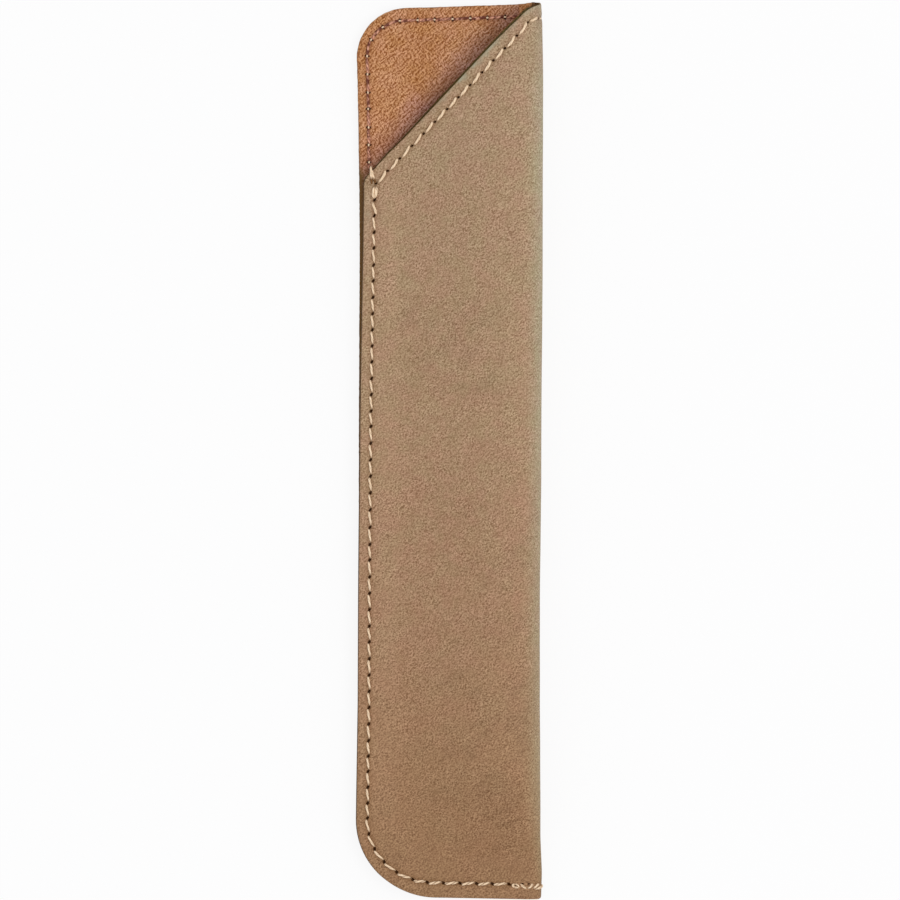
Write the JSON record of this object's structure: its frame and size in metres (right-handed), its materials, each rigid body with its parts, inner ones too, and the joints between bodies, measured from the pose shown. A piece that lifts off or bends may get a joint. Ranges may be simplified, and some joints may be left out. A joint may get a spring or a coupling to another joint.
{
  "type": "pen case",
  "caption": "Flat sewn sleeve for a pen: a lined leatherette sheet folded along one side, with a slanted open mouth and a higher back wall.",
  "frame": {"origin": "middle of the case's outline, on the surface that its back wall lies on", "axes": "+Y along the case towards its mouth, +X towards the fold, +Z out of the front wall"},
  "size_m": [0.0325, 0.1548, 0.0114],
  "materials": {
    "leatherette": "light brown, fine matt grain",
    "suede": "orange-tan brushed suede cloth",
    "cream_thread": "twisted sewing thread",
    "mauve_thread": "twisted sewing thread"
  },
  "bodies": {
    "root": {"cover": "leatherette", "lining": "suede", "rim_needle_thread": "cream_thread", "rim_bobbin_thread": "mauve_thread", "seam_needle_thread": "cream_thread", "seam_bobbin_thread": "mauve_thread"}
  },
  "joints": []
}
